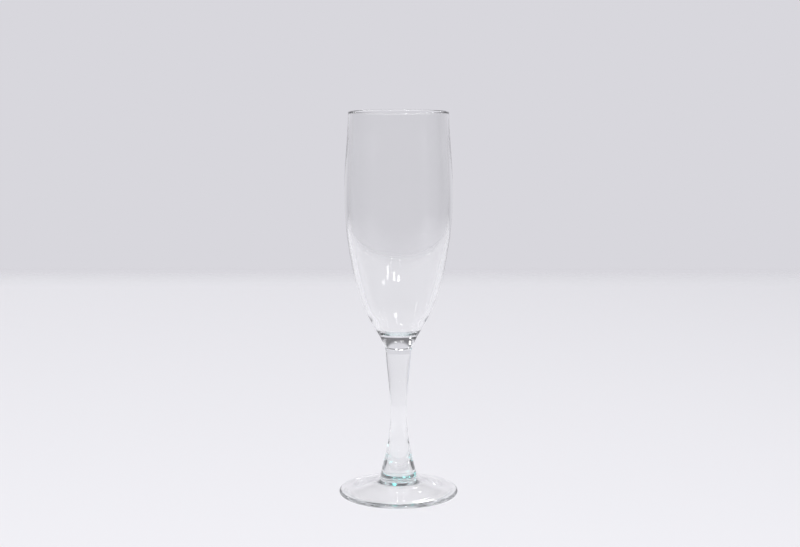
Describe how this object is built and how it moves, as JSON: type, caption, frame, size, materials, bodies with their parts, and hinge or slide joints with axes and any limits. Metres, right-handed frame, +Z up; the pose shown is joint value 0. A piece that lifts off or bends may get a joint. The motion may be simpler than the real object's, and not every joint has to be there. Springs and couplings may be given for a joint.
{
  "type": "champagne flute",
  "caption": "Clear stemmed flute with a tall tulip bowl, a solid waisted stem and a flat round foot, fused together.",
  "frame": {"origin": "middle of the foot's resting face, on the axis of the glass", "axes": "+Z up along the axis of the glass; the glass is round, so X and Y are free"},
  "size_m": [0.0608, 0.0608, 0.195],
  "materials": {
    "blown_glass": "clear, fire-polished",
    "pressed_glass": "clear, pressed and fire-polished"
  },
  "bodies": {
    "root": {"bowl": "blown_glass", "stem": "pressed_glass", "foot": "pressed_glass"}
  },
  "joints": []
}
